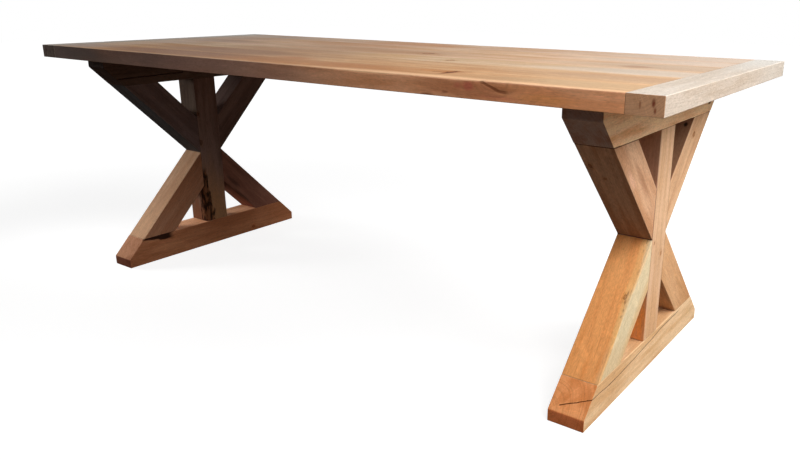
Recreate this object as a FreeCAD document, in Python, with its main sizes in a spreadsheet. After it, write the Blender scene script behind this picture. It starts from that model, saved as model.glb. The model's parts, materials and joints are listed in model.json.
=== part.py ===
import FreeCAD, Part
import os

import Sketcher
from FreeCAD import Placement, Rotation, Vector

# Sawbuck dining table in solid oak: a plank top with a cross board at each end, on two trestles.
# Each trestle is a top beam, a foot beam, a post between them and four braces that lean out from the
# post's waist, so that every brace's outer face runs on into the sloped end of its beam.
# Millimetres, +Z up, +X along the table. The origin is on the floor, under the middle of the table.

SIZES = {
    # the whole table
    "table_height": 770,
    "trestle_inset": 145,  # from each end of the top to the trestle's outer face
    # the top: planks in pairs of a wide and a narrow one, side by side between the end boards
    "plank_pairs": 3,
    "wide_plank_width": 165,
    "narrow_plank_width": 135,
    "plank_length": 2000,
    "end_board_width": 75,
    "top_thickness": 40,
    "top_bevel": 1.5,  # on the outer edges of the top
    # the tongue on the planks' ends, in a stopped groove of each end board
    "tongue_thickness": 13,
    "tongue_length": 25,
    "tongue_inset": 45,  # the groove stops this far from the front and back edges
    # the loose tongues in the joints between planks
    "spline_thickness": 8,
    "spline_width": 24,
    "spline_inset": 60,  # stops this far from the planks' ends
    # the trestle's timbers
    "timber_depth": 92,  # along X, the same for all, so that they lie flush
    "beam_length": 762,
    "beam_height": 92,
    "nose_height": 30,  # upright end of a beam, before its slope
    "post_width": 92,
    "brace_width": 92,
    "timber_bevel": 1.5,
    # tenons on the post and the braces
    "tenon_thickness": 30,
    "tenon_shoulder": 15,
    "post_tenon_length": 50,
    "brace_tenon_length": 40,
    "mortise_relief": 1,  # a mortise or groove is this much deeper than what it holds
    "glue_line": 0.1,  # around a tenon, spline, dowel or insert in its hole
    # the dowels that pin the braces to the post
    "dowel_diameter": 16,
    "dowel_depth": 40,  # into each brace
    "dowel_height": 70,  # above and below the waist
    # the bolts that hold the top, with washers, and inserts in the planks
    "bolt_diameter": 8,
    "bolt_hole_diameter": 11,  # leaves the top free to swell
    "bolt_reach": 118,  # from the middle of the beam, along it
    "bolt_gauge": 46,  # across the beam, between the two rows
    "bolt_tip_gap": 2,
    "head_width": 13,  # across the flats
    "head_height": 5.3,
    "washer_diameter": 20,
    "washer_thickness": 2,
    "counterbore_diameter": 24,
    "counterbore_depth": 32,
    "insert_diameter": 14,
    "insert_length": 20,
}

doc = FreeCAD.newDocument("sawbuck_table")
sheet = doc.addObject("Spreadsheet::Sheet", "Sizes")
for row, (alias, size) in enumerate(SIZES.items(), 1):
    sheet.set(f"A{row}", alias)
    sheet.set(f"B{row}", str(size))
    sheet.setAlias(f"B{row}", alias)
doc.recompute()

# Heights and widths that follow from the sheet, as expressions on its cells.
TRESTLE_HEIGHT = "(Sizes.table_height - Sizes.top_thickness)"
WAIST = f"({TRESTLE_HEIGHT} / 2)"
SHOULDER = f"({WAIST} - Sizes.beam_height)"  # from the waist to either beam
RUN = "((Sizes.beam_length - Sizes.post_width) / 2)"  # a brace's outer face leans out by this
RISE = f"({WAIST} - Sizes.nose_height)"  # over this height
HEEL = f"(Sizes.post_width / 2 + {SHOULDER} * {RUN} / {RISE})"  # outer corner of a brace on its beam
CUT = f"(Sizes.brace_width * sqrt({RUN} ^ 2 + {RISE} ^ 2) / {RISE})"  # width of the brace's level cut
CROTCH = f"(Sizes.brace_width * sqrt({RUN} ^ 2 + {RISE} ^ 2) / {RUN})"  # height of its cut on the post
PAIR_WIDTH = "(Sizes.wide_plank_width + Sizes.narrow_plank_width)"
TOP_WIDTH = f"(Sizes.plank_pairs * {PAIR_WIDTH})"
TRESTLE_OUT = (
    "(Sizes.plank_length / 2 + Sizes.end_board_width - Sizes.trestle_inset - Sizes.timber_depth / 2)"
)
MID_THICKNESS = "(Sizes.top_thickness / 2)"
BOLT_SEAT = f"({TRESTLE_HEIGHT} - Sizes.beam_height + Sizes.counterbore_depth)"
BOLT_LENGTH = (
    "(Sizes.beam_height - Sizes.counterbore_depth + Sizes.washer_thickness"
    " + Sizes.insert_length - Sizes.bolt_tip_gap)"
)
DOWEL_HOLE = "Sizes.dowel_diameter + 2 * Sizes.glue_line"
BOLT_BORE = "(Sizes.bolt_diameter + 2 * Sizes.glue_line)"

# How a piece is turned from the way it is drawn.
UPRIGHT = Rotation()
ABOUT = Rotation(Vector(0, 0, 1), 180)  # turned round, back to front
OVER_SIDEWAYS = Rotation(Vector(0, 1, 0), 180)  # upside down, the back stays at the back
OVER_ENDWAYS = Rotation(Vector(1, 0, 0), 180)  # upside down, back to front
BRACE_TURNS = {
    "upper_back": UPRIGHT,
    "upper_front": ABOUT,
    "lower_back": OVER_SIDEWAYS,
    "lower_front": OVER_ENDWAYS,
}


def number(expression):
    """Value of an expression on the sheet."""
    return float(sheet.evalExpression(str(expression)))


def new_body(label):
    body = doc.addObject("PartDesign::Body", label)
    body.Label = label
    return body


def place(item, turn=None, **shifts):
    """Turn an object about its own origin, then bind its x, y or z to the sheet."""
    item.Placement = Placement(Vector(), turn or Rotation())
    for axis, expression in shifts.items():
        item.setExpression(f"Placement.Base.{axis}", expression)


def sketch_on(body, name, role, lift=None):
    """Empty sketch on one of the body's origin planes, lifted off it where asked."""
    sketch = body.newObject("Sketcher::SketchObject", f"{body.Name}_{name}")
    plane = next(feature for feature in body.Origin.OriginFeatures if feature.Role == role)
    sketch.AttachmentSupport = [(plane, "")]
    sketch.MapMode = "FlatFace"
    if lift:
        sketch.setExpression("AttachmentOffset.Base.z", lift)
    return sketch


def fix(sketch, kind, geometry, point, expression):
    """Dimension from the sketch's origin to a point of its geometry, bound to the sheet."""
    constraint = Sketcher.Constraint(kind, geometry, point, number(expression))
    index = sketch.addConstraint(constraint)
    sketch.setExpression(f"Constraints[{index}]", expression)


def draw_outline(sketch, corners):
    """Closed outline of straight lines, each corner a pair of expressions."""
    points = [Vector(number(across), number(up), 0) for across, up in corners]
    first = sketch.GeometryCount
    for start, end in zip(points, points[1:] + points[:1]):
        sketch.addGeometry(Part.LineSegment(start, end), False)
    for step, (across, up) in enumerate(corners):
        line = first + step
        following = first + (step + 1) % len(corners)
        sketch.addConstraint(Sketcher.Constraint("Coincident", line, 2, following, 1))
        fix(sketch, "DistanceX", line, 1, across)
        fix(sketch, "DistanceY", line, 1, up)


def draw_rectangle(sketch, left, right, bottom, top):
    draw_outline(sketch, [(left, bottom), (right, bottom), (right, top), (left, top)])


def draw_circle(sketch, across, up, diameter):
    centre = Vector(number(across), number(up), 0)
    circle = sketch.addGeometry(Part.Circle(centre, Vector(0, 0, 1), number(diameter) / 2), False)
    fix(sketch, "DistanceX", circle, 3, across)
    fix(sketch, "DistanceY", circle, 3, up)
    index = sketch.addConstraint(Sketcher.Constraint("Diameter", circle, number(diameter)))
    sketch.setExpression(f"Constraints[{index}]", diameter)


def pad(body, sketch, length):
    """Solid as long as asked, half on each side of the sketch."""
    feature = body.newObject("PartDesign::Pad", f"{sketch.Name}_pad")
    feature.Profile = sketch
    feature.SideType = "Symmetric"
    feature.setExpression("Length", length)
    return feature


def pocket(body, sketch, length, side="Symmetric", upward=False):
    """Cut as deep as asked: half on each side of the sketch, or on one side of it."""
    doc.recompute()
    volume = body.Shape.Volume
    feature = body.newObject("PartDesign::Pocket", f"{sketch.Name}_pocket")
    feature.Profile = sketch
    feature.SideType = side
    feature.Reversed = upward
    feature.setExpression("Length", length)
    doc.recompute()
    if body.Shape.Volume >= volume:
        raise RuntimeError(f"{feature.Name} cuts nothing")
    return feature


def bevel(body, size, chosen):
    """Chamfer on the edges that the test picks, by the points at their two ends."""
    doc.recompute()
    base = body.Tip
    names = []
    for index, edge in enumerate(base.Shape.Edges, 1):
        if chosen(*(vertex.Point for vertex in edge.Vertexes)):
            names.append(f"Edge{index}")
    feature = body.newObject("PartDesign::Chamfer", f"{body.Name}_bevel")
    feature.Base = (base, names)
    feature.setExpression("Size", size)


def same(first, second):
    return abs(first - second) < 1e-4


# The top.


def plank(index):
    """One lengthwise board: tongued ends, spline grooves in its glued edges, holes for inserts."""
    count = 2 * SIZES["plank_pairs"]
    body = new_body(f"plank_{index + 1}")
    width = "Sizes.narrow_plank_width" if index % 2 == 0 else "Sizes.wide_plank_width"
    left_of = f"({index // 2} * {PAIR_WIDTH} + {index % 2} * Sizes.narrow_plank_width)"
    centre = f"({left_of} + {width} / 2 - {TOP_WIDTH} / 2)"
    is_front = index == 0
    is_back = index == count - 1

    board = sketch_on(body, "board", "YZ_Plane")
    draw_rectangle(board, f"-{width} / 2", f"{width} / 2", "0", "Sizes.top_thickness")
    pad(body, board, "Sizes.plank_length")
    if is_front or is_back:
        edge = (1 if is_back else -1) * number(width) / 2
        bevel(body, "Sizes.top_bevel", lambda a, b: same(a.y, edge) and same(b.y, edge) and same(a.z, b.z))

    inset = "Sizes.tongue_inset"
    tongue = sketch_on(body, "tongue", "YZ_Plane")
    draw_rectangle(
        tongue,
        f"-{width} / 2 + {inset}" if is_front else f"-{width} / 2",
        f"{width} / 2 - {inset}" if is_back else f"{width} / 2",
        f"{MID_THICKNESS} - Sizes.tongue_thickness / 2",
        f"{MID_THICKNESS} + Sizes.tongue_thickness / 2",
    )
    pad(body, tongue, "Sizes.plank_length + 2 * Sizes.tongue_length")

    groove_depth = "(Sizes.spline_width / 2 + Sizes.mortise_relief)"
    groove_top = f"{MID_THICKNESS} + Sizes.spline_thickness / 2 + Sizes.glue_line"
    groove_bottom = f"{MID_THICKNESS} - Sizes.spline_thickness / 2 - Sizes.glue_line"
    grooves = sketch_on(body, "grooves", "YZ_Plane")
    if not is_front:
        draw_rectangle(grooves, f"-{width} / 2", f"{groove_depth} - {width} / 2", groove_bottom, groove_top)
    if not is_back:
        draw_rectangle(grooves, f"{width} / 2 - {groove_depth}", f"{width} / 2", groove_bottom, groove_top)
    pocket(body, grooves, "Sizes.plank_length - 2 * Sizes.spline_inset + 2 * Sizes.glue_line")

    hole = "Sizes.insert_diameter + 2 * Sizes.glue_line"
    for row in (-1, 1):
        along = f"({row} * Sizes.bolt_reach - {centre})"
        if abs(number(along)) < (number(width) + number(hole)) / 2:
            holes = sketch_on(body, "insert_holes", "XY_Plane")
            for side in (-1, 1):
                for gauge in (-1, 1):
                    across = f"{side} * {TRESTLE_OUT} + {gauge} * Sizes.bolt_gauge / 2"
                    draw_circle(holes, across, along, hole)
            pocket(body, holes, "Sizes.insert_length + Sizes.mortise_relief", "One side", upward=True)

    place(body, y=centre, z=TRESTLE_HEIGHT)
    return body


def end_board(side, turn):
    """Cross board at one end of the top, with the stopped groove that holds the planks' tongues."""
    body = new_body(f"end_board_{side}")
    board = sketch_on(body, "board", "XZ_Plane")
    draw_rectangle(board, "0", "Sizes.end_board_width", "0", "Sizes.top_thickness")
    pad(body, board, TOP_WIDTH)
    bevel(body, "Sizes.top_bevel", lambda a, b: not (same(a.x, 0) and same(b.x, 0)))

    groove = sketch_on(body, "groove", "XZ_Plane")
    draw_rectangle(
        groove,
        "0",
        "Sizes.tongue_length + Sizes.mortise_relief",
        f"{MID_THICKNESS} - Sizes.tongue_thickness / 2 - Sizes.glue_line",
        f"{MID_THICKNESS} + Sizes.tongue_thickness / 2 + Sizes.glue_line",
    )
    pocket(body, groove, f"{TOP_WIDTH} - 2 * Sizes.tongue_inset + 2 * Sizes.glue_line")
    outward = turn.multVec(Vector(1, 0, 0)).x
    place(body, turn, x=f"{outward:.0f} * Sizes.plank_length / 2", z=TRESTLE_HEIGHT)
    return body


def plank_splines():
    """The loose tongues, one in each joint between two planks."""
    splines = []
    for seam in range(1, 2 * SIZES["plank_pairs"]):
        spline = doc.addObject("Part::Box", f"spline_{seam}")
        spline.setExpression("Length", "Sizes.plank_length - 2 * Sizes.spline_inset")
        spline.setExpression("Width", "Sizes.spline_width")
        spline.setExpression("Height", "Sizes.spline_thickness")
        joint = f"{seam // 2} * {PAIR_WIDTH} + {seam % 2} * Sizes.narrow_plank_width - {TOP_WIDTH} / 2"
        place(
            spline,
            x="-(Sizes.plank_length / 2 - Sizes.spline_inset)",
            y=f"{joint} - Sizes.spline_width / 2",
            z=f"{TRESTLE_HEIGHT} + {MID_THICKNESS} - Sizes.spline_thickness / 2",
        )
        splines.append(spline)
    return group("plank_splines", splines)


def group(label, pieces):
    """Identical pieces under one label, each still a solid of its own."""
    together = doc.addObject("Part::Compound", label)
    together.Label = label
    together.Links = pieces
    return together


# The trestle. Its timbers are drawn in the plane across the table and lie flush, half of their depth on
# each side of it.


def bevel_sides(body):
    """Bevel round both flush side faces, which leaves a fine V along every joint."""
    side = number("Sizes.timber_depth") / 2
    bevel(body, "Sizes.timber_bevel", lambda a, b: same(abs(a.x), side) and same(a.x, b.x))


def beam(label, has_bolts):
    """Cross beam, flat face down: upright noses, sloped ends in line with the braces, three mortises."""
    body = new_body(label)
    half = "Sizes.beam_length / 2"
    outline = sketch_on(body, "outline", "YZ_Plane")
    draw_outline(outline, [
        (f"-{half}", "0"),
        (half, "0"),
        (half, "Sizes.nose_height"),
        (HEEL, "Sizes.beam_height"),
        (f"-{HEEL}", "Sizes.beam_height"),
        (f"-{half}", "Sizes.nose_height"),
    ])
    pad(body, outline, "Sizes.timber_depth")
    bevel_sides(body)

    shoulder = "Sizes.tenon_shoulder - Sizes.glue_line"
    near = f"{HEEL} - {CUT} + {shoulder}"
    far = f"{HEEL} - ({shoulder})"
    brace_floor = "Sizes.beam_height - Sizes.brace_tenon_length - Sizes.mortise_relief"
    post_floor = "Sizes.beam_height - Sizes.post_tenon_length - Sizes.mortise_relief"
    post_wall = f"Sizes.post_width / 2 - ({shoulder})"
    mortises = sketch_on(body, "mortises", "YZ_Plane")
    draw_rectangle(mortises, near, far, brace_floor, "Sizes.beam_height")
    draw_rectangle(mortises, f"-({far})", f"-({near})", brace_floor, "Sizes.beam_height")
    draw_rectangle(mortises, f"-({post_wall})", post_wall, post_floor, "Sizes.beam_height")
    pocket(body, mortises, "Sizes.tenon_thickness + 2 * Sizes.glue_line")
    if has_bolts:
        bore_bolt_holes(body)
    return body


def bore_bolt_holes(body):
    """Counterbored holes for the bolts, from the face where the braces stand."""
    spots = sketch_on(body, "bolt_spots", "XY_Plane", lift="Sizes.beam_height")
    for row in (-1, 1):
        for gauge in (-1, 1):
            across = f"{gauge} * Sizes.bolt_gauge / 2"
            draw_circle(spots, across, f"{row} * Sizes.bolt_reach", "Sizes.bolt_hole_diameter")
    doc.recompute()
    volume = body.Shape.Volume
    holes = body.newObject("PartDesign::Hole", f"{body.Name}_holes")
    holes.Profile = spots
    doc.recompute()
    holes.ThreadType = "None"
    holes.DepthType = "ThroughAll"
    holes.setExpression("Diameter", "Sizes.bolt_hole_diameter")
    holes.HoleCutType = "Counterbore"
    holes.HoleCutCustomValues = True
    holes.setExpression("HoleCutDiameter", "Sizes.counterbore_diameter")
    holes.setExpression("HoleCutDepth", "Sizes.counterbore_depth")
    doc.recompute()
    if body.Shape.Volume >= volume:
        raise RuntimeError(f"{holes.Name} cuts nothing")


def post(label):
    """Upright between the two beams, about the waist: tenoned ends and two dowel holes."""
    body = new_body(label)
    shaft = sketch_on(body, "shaft", "YZ_Plane")
    half = "Sizes.post_width / 2"
    draw_rectangle(shaft, f"-{half}", half, f"-{SHOULDER}", SHOULDER)
    pad(body, shaft, "Sizes.timber_depth")
    bevel_sides(body)

    tenons = sketch_on(body, "tenons", "YZ_Plane")
    tip = f"({SHOULDER} + Sizes.post_tenon_length)"
    wall = f"({half} - Sizes.tenon_shoulder)"
    draw_rectangle(tenons, f"-{wall}", wall, f"-{tip}", tip)
    pad(body, tenons, "Sizes.tenon_thickness")

    holes = sketch_on(body, "dowel_holes", "XZ_Plane")
    for level in (-1, 1):
        draw_circle(holes, "0", f"{level} * Sizes.dowel_height", DOWEL_HOLE)
    pocket(body, holes, "Sizes.post_width")
    return body


def brace(label):
    """Diagonal, drawn upper and back: a feather edge at the waist and a level cut with a tenon."""
    body = new_body(label)
    outline = sketch_on(body, "outline", "YZ_Plane")
    draw_outline(outline, [
        ("Sizes.post_width / 2", "0"),
        (HEEL, SHOULDER),
        (f"{HEEL} - {CUT}", SHOULDER),
        ("Sizes.post_width / 2", CROTCH),
    ])
    pad(body, outline, "Sizes.timber_depth")
    bevel_sides(body)

    tenon = sketch_on(body, "tenon", "YZ_Plane")
    draw_rectangle(
        tenon,
        f"{HEEL} - {CUT} + Sizes.tenon_shoulder",
        f"{HEEL} - Sizes.tenon_shoulder",
        SHOULDER,
        f"{SHOULDER} + Sizes.brace_tenon_length",
    )
    pad(body, tenon, "Sizes.tenon_thickness")

    hole = sketch_on(body, "dowel_hole", "XZ_Plane")
    draw_circle(hole, "0", "Sizes.dowel_height", DOWEL_HOLE)
    pocket(body, hole, "Sizes.post_width + 2 * (Sizes.dowel_depth + Sizes.mortise_relief)")
    return body


def waist_dowels(label, out):
    """Two level dowels through the post, each into a brace at both ends."""
    dowels = []
    length = "(Sizes.post_width + 2 * Sizes.dowel_depth)"
    for level in (-1, 1):
        dowel = doc.addObject("Part::Cylinder", f"{label}_{'lower' if level < 0 else 'upper'}")
        dowel.setExpression("Radius", "Sizes.dowel_diameter / 2")
        dowel.setExpression("Height", length)
        along = Rotation(Vector(-1, 0, 0), 90)
        place(dowel, along, x=out, y=f"-{length} / 2", z=f"{WAIST} + {level} * Sizes.dowel_height")
        dowels.append(dowel)
    return group(label, dowels)


def bolt(name):
    """Hexagon bolt, upright on its head."""
    head = doc.addObject("Part::Prism", f"{name}_head")
    head.Polygon = 6
    head.setExpression("Circumradius", "Sizes.head_width / sqrt(3)")
    head.setExpression("Height", "Sizes.head_height")
    place(head, z="-Sizes.head_height")
    shank = doc.addObject("Part::Cylinder", f"{name}_shank")
    shank.setExpression("Radius", "Sizes.bolt_diameter / 2")
    shank.setExpression("Height", BOLT_LENGTH)
    return join(f"{name}_whole", "Part::Fuse", head, shank)


def ring(name, outer, inner, height):
    """Flat or tall ring: an outer cylinder less an inner one."""
    body = doc.addObject("Part::Cylinder", f"{name}_body")
    body.setExpression("Radius", f"{outer} / 2")
    body.setExpression("Height", height)
    bore = doc.addObject("Part::Cylinder", f"{name}_bore")
    bore.setExpression("Radius", f"{inner} / 2")
    bore.setExpression("Height", height)
    return join(f"{name}_whole", "Part::Cut", body, bore)


def join(name, kind, base, tool):
    result = doc.addObject(kind, name)
    result.Base = base
    result.Tool = tool
    return result


def washer(name):
    return ring(name, "Sizes.washer_diameter", BOLT_BORE, "Sizes.washer_thickness")


def insert(name):
    return ring(name, "Sizes.insert_diameter", BOLT_BORE, "Sizes.insert_length")


def bolted_spots(label, make, out, height):
    """One fastener at each of the beam's four bolt holes."""
    pieces = []
    for row in (-1, 1):
        for gauge in (-1, 1):
            piece = make(f"{label}_{len(pieces) + 1}")
            place(
                piece,
                x=f"{out} + {gauge} * Sizes.bolt_gauge / 2",
                y=f"{row} * Sizes.bolt_reach",
                z=height,
            )
            pieces.append(piece)
    return group(label, pieces)


def trestle(side, out):
    """All the pieces of one trestle, and the fasteners that hold the top on it."""
    foot_beam = beam(f"{side}_foot_beam", has_bolts=False)
    place(foot_beam, x=out)
    top_beam = beam(f"{side}_top_beam", has_bolts=True)
    place(top_beam, OVER_SIDEWAYS, x=out, z=TRESTLE_HEIGHT)
    upright = post(f"{side}_post")
    place(upright, x=out, z=WAIST)
    pieces = [foot_beam, top_beam, upright]
    for position, turn in BRACE_TURNS.items():
        diagonal = brace(f"{side}_{position}_brace")
        place(diagonal, turn, x=out, z=WAIST)
        pieces.append(diagonal)
    pieces.append(waist_dowels(f"{side}_waist_dowels", out))
    pieces.append(bolted_spots(f"{side}_top_bolts", bolt, out, f"{BOLT_SEAT} - Sizes.washer_thickness"))
    pieces.append(bolted_spots(f"{side}_top_washers", washer, out, f"{BOLT_SEAT} - Sizes.washer_thickness"))
    pieces.append(bolted_spots(f"{side}_top_inserts", insert, out, TRESTLE_HEIGHT))
    return pieces


def whole_table():
    pieces = [plank(index) for index in range(2 * SIZES["plank_pairs"])]
    pieces.append(end_board("left", ABOUT))
    pieces.append(end_board("right", UPRIGHT))
    pieces.append(plank_splines())
    pieces += trestle("left", f"-{TRESTLE_OUT}")
    pieces += trestle("right", TRESTLE_OUT)
    return pieces


def check(pieces):
    """Stop before anything is written if an object of the document failed."""
    for item in doc.Objects:
        if "Invalid" in item.State or "Error" in item.State:
            raise RuntimeError(f"{item.Label} did not build")
    for piece in pieces:
        if piece.Shape.isNull() or not piece.Shape.isValid():
            raise RuntimeError(f"{piece.Label} has no sound shape")


table = whole_table()
doc.recompute()
check(table)
os.makedirs("parts", exist_ok=True)
for piece in table:
    piece.Shape.exportStep(f"parts/{piece.Label}.step")
    print(f"{piece.Label}: {len(piece.Shape.Solids)} solid(s), {piece.Shape.Volume / 1000:.1f} cm3")
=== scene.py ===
# %% [markdown]
# # A sawbuck dining table in oak
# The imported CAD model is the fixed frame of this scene: it says where every timber lies.
# Here each timber that shows gets a finer surface and its own oak, and nothing is moved.
# All lengths are in metres, in the frame's own axes: x along the table, y to its back, z up.

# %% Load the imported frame
import json
import math

import bpy
import numpy as np
from mathutils import Matrix, Vector


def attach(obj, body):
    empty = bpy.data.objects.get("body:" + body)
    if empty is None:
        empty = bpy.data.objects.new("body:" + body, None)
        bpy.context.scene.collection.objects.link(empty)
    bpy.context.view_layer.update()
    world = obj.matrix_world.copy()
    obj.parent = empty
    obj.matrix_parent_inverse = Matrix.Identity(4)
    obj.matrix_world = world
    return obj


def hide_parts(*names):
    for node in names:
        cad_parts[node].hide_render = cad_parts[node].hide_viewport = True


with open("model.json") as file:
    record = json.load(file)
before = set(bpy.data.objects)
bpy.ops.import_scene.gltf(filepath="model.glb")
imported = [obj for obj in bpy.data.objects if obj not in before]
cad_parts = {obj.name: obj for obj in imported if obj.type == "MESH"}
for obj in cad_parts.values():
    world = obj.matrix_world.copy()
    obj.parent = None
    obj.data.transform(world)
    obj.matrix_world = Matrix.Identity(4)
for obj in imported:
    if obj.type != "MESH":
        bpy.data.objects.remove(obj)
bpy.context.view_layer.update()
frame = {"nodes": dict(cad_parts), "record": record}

BODY = "root"

# %% [markdown]
# ## Where the viewer stands
# The viewer stands past the right front corner and looks back along the table, only a hand's
# breadth of angle above the top. A camera can be aimed with an empty and a constraint, but a
# constraint is one more thing to keep, so the three turns are written as one matrix: yaw about
# the plumb line, pitch down from level, and a very small roll.

# %% Set up the camera
scene = bpy.context.scene


def add_object(name, data):
    """Makes an object of a camera, a lamp or a mesh, and puts it in the scene."""
    made = bpy.data.objects.new(name, data)
    scene.collection.objects.link(made)
    return made


def mesh_object(name, points, faces, smooth=False):
    """A new object from lists of points and of faces, each face a row of point numbers."""
    mesh = bpy.data.meshes.new(name)
    mesh.from_pydata(points, [], faces, shade_flat=not smooth)
    return add_object(name, mesh)


CAMERA_PLACE = Vector((1.52228, -1.71471, 0.93692))
YAW, PITCH, ROLL = 0.6134168, -0.3058001, 0.0051702
FOCAL_PIXELS, FRAME_WIDTH, FRAME_HEIGHT = 735.03, 800, 460
SENSOR = 36.0
MIDDLE_PIXEL = (457.78, 226.43)


def camera_matrix(place, yaw, pitch, roll):
    """Columns: right, up and backwards, with right and up turned by the roll, then the place."""
    forward = Vector((-math.sin(yaw) * math.cos(pitch), math.cos(yaw) * math.cos(pitch), math.sin(pitch)))
    level = Vector((math.cos(yaw), math.sin(yaw), 0))
    above = level.cross(forward)
    right = math.cos(roll) * level + math.sin(roll) * above
    up = math.cos(roll) * above - math.sin(roll) * level
    return Matrix.Translation(place) @ Matrix((right, up, -forward)).transposed().to_4x4()


lens = bpy.data.cameras.new("viewer")
lens.sensor_width = SENSOR
lens.lens = FOCAL_PIXELS * SENSOR / FRAME_WIDTH
lens.shift_x = (FRAME_WIDTH / 2 - MIDDLE_PIXEL[0]) / FRAME_WIDTH
lens.shift_y = (MIDDLE_PIXEL[1] - FRAME_HEIGHT / 2) / FRAME_WIDTH
lens.clip_start, lens.clip_end = 0.05, 100
scene.camera = add_object("viewer", lens)
scene.camera.matrix_world = camera_matrix(CAMERA_PLACE, YAW, PITCH, ROLL)
print("lens", round(lens.lens, 2), "mm")

# %% [markdown]
# ## Shader sums written as Python
# A node tree is wiring, and long sums are hard to read as wiring. Two small classes make it
# readable. The first, `Wire`, stands for one output socket, and Python's operators on it add the
# Math node that does the same sum.

# %% The Wire class


class Wire:
    """One output socket. Each operator adds the Math node that does the same."""

    def __init__(self, bench, socket):
        self.bench, self.socket = bench, socket

    def maths(self, operation, *others):
        """Any other sum that the Math node knows."""
        return self.bench.node("Math", {"operation": operation}, [self, *others])

    def __add__(self, other):
        return self.maths("ADD", other)

    def __sub__(self, other):
        return self.maths("SUBTRACT", other)

    def __mul__(self, other):
        return self.maths("MULTIPLY", other)

    def __pow__(self, other):
        return self.maths("POWER", other)

    def __rsub__(self, other):
        return self.bench.node("Math", {"operation": "SUBTRACT"}, [other, self])

    def __neg__(self):
        return self * -1.0

    __radd__, __rmul__ = __add__, __mul__


# %% [markdown]
# The second, `Bench`, holds one material's tree. Every node comes from its method `node`, which
# takes the node's type, its settings and its inputs, so nothing is wired by hand.

# %% The Bench class


class Bench:
    """One material's node tree, and the few ways in which nodes are added to it."""

    def __init__(self, name, world=False):
        self.world = world
        self.owner = (bpy.data.worlds if world else bpy.data.materials).new(name)
        self.owner.use_nodes = True
        self.tree = self.owner.node_tree
        self.tree.nodes.clear()

    def node(self, kind, settings=None, inputs=(), output=0):
        """Adds a node: its settings first, then the values or wires of its sockets."""
        made = self.tree.nodes.new("ShaderNode" + kind)
        for key, value in (settings or {}).items():
            if key == "stops":
                ramp = made.color_ramp.elements
                while len(ramp) < len(value):
                    ramp.new(0.5)
                for stop, (at, colour) in zip(ramp, value):
                    stop.position, stop.color = at, colour
            else:
                setattr(made, key, value)
        for key, value in (inputs.items() if isinstance(inputs, dict) else enumerate(inputs)):
            if isinstance(value, Wire):
                self.tree.links.new(value.socket, made.inputs[key])
            else:
                made.inputs[key].default_value = value
        return Wire(self, made.outputs[output])

    def blend(self, share, first, second, how="MIX"):
        """Mixes two colours."""
        return self.node("Mix", {"data_type": "RGBA", "blend_type": how},
                         {0: share, 6: first, 7: second}, 2)

    def step(self, value, low, high, from_value=0.0, to_value=1.0):
        """Runs smoothly from one value to another while the input runs from low to high."""
        return self.node("MapRange", {"interpolation_type": "SMOOTHSTEP"},
                         [value, low, high, from_value, to_value])

    def window(self, value, low, high, soft):
        """1 between low and high, and 0 outside, with soft ends."""
        return self.step(value, low - soft, low + soft) * self.step(value, high + soft, high - soft)

    def noise(self, place, stretch, seed, detail=2.0, rough=0.5, output=0):
        """Smooth noise whose features are 1 / stretch long in each direction."""
        offset = (seed * 7.31 % 50, seed * 3.77 % 50, seed * 5.13 % 50)
        spread = self.node("VectorMath", {"operation": "MULTIPLY_ADD"}, [place, stretch, offset])
        inputs = {"Vector": spread, "Scale": 1.0, "Detail": detail, "Roughness": rough}
        return self.node("TexNoise", {}, inputs, output)

    def parts(self, vector):
        """The three numbers of a vector, as wires."""
        split = self.node("SeparateXYZ", {}, [vector])
        return [Wire(self, socket) for socket in split.socket.node.outputs]

    def vector(self, *numbers):
        """Three numbers made one vector."""
        return self.node("CombineXYZ", {}, list(numbers))

    def close(self, shader):
        """Wires the finished shader to the output and hands back the material."""
        end = self.tree.nodes.new("ShaderNodeOutputWorld" if self.world else "ShaderNodeOutputMaterial")
        self.tree.links.new(shader.socket, end.inputs[0])
        return self.owner


def srgb(red, green, blue):
    """A colour as picked on a screen, 0 to 255, turned into the linear light that shaders use."""
    part = np.array([red, green, blue]) / 255
    linear = np.where(part > 0.04045, ((part + 0.055) / 1.055) ** 2.4, part / 12.92)
    return (*[float(value) for value in linear], 1.0)


print("mid grey", srgb(128, 128, 128))

# %% [markdown]
# ## Floor, room and lamps
# The table stands on a pale studio floor. The floor shows white to the eye and keeps the
# table's shadow, but it is a duller floor for the light that bounces off it, as a grey
# studio floor would be, so the undersides stay dark. More light on a real white floor would
# make it white too, but it would also bleach the table.

# %% Floor and room
FLOOR_BOUNCE = (0.19, 0.15, 0.12, 1)
FLOOR_MATT = (0.34, 0.34, 0.34, 1)
FLOOR_GLOW, FAR_GLOW = 0.86, 0.16
GLOW_NEAR, GLOW_FAR = 1.4, 4.0


def seen(bench, *kinds):
    """1 for a ray of one of these kinds, so that it is shown a background of its own."""
    path = bench.node("LightPath")
    rays = {socket.name: Wire(bench, socket) for socket in path.socket.node.outputs}
    first, *others = [rays[f"Is {kind} Ray"] for kind in kinds]
    for other in others:
        first = first.maths("MAXIMUM", other)
    return first


def floor_material():
    """White with a soft shadow where it is seen, and grey for bounced light."""
    bench = Bench("studio_floor")
    place = bench.node("TexCoord", output=3)
    far = bench.node("VectorMath", {"operation": "LENGTH"}, [place], 1)
    far = bench.step(far, GLOW_NEAR, GLOW_FAR)
    glow = bench.node("Emission", {}, {"Strength": far * FAR_GLOW + FLOOR_GLOW})
    matt = bench.node("BsdfDiffuse", {}, {"Color": FLOOR_MATT})
    shown = bench.node("AddShader", {}, [glow, matt])
    dull = bench.node("BsdfDiffuse", {}, {"Color": FLOOR_BOUNCE})
    return bench.close(bench.node("MixShader", {}, [seen(bench, "Camera"), dull, shown]))


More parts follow.
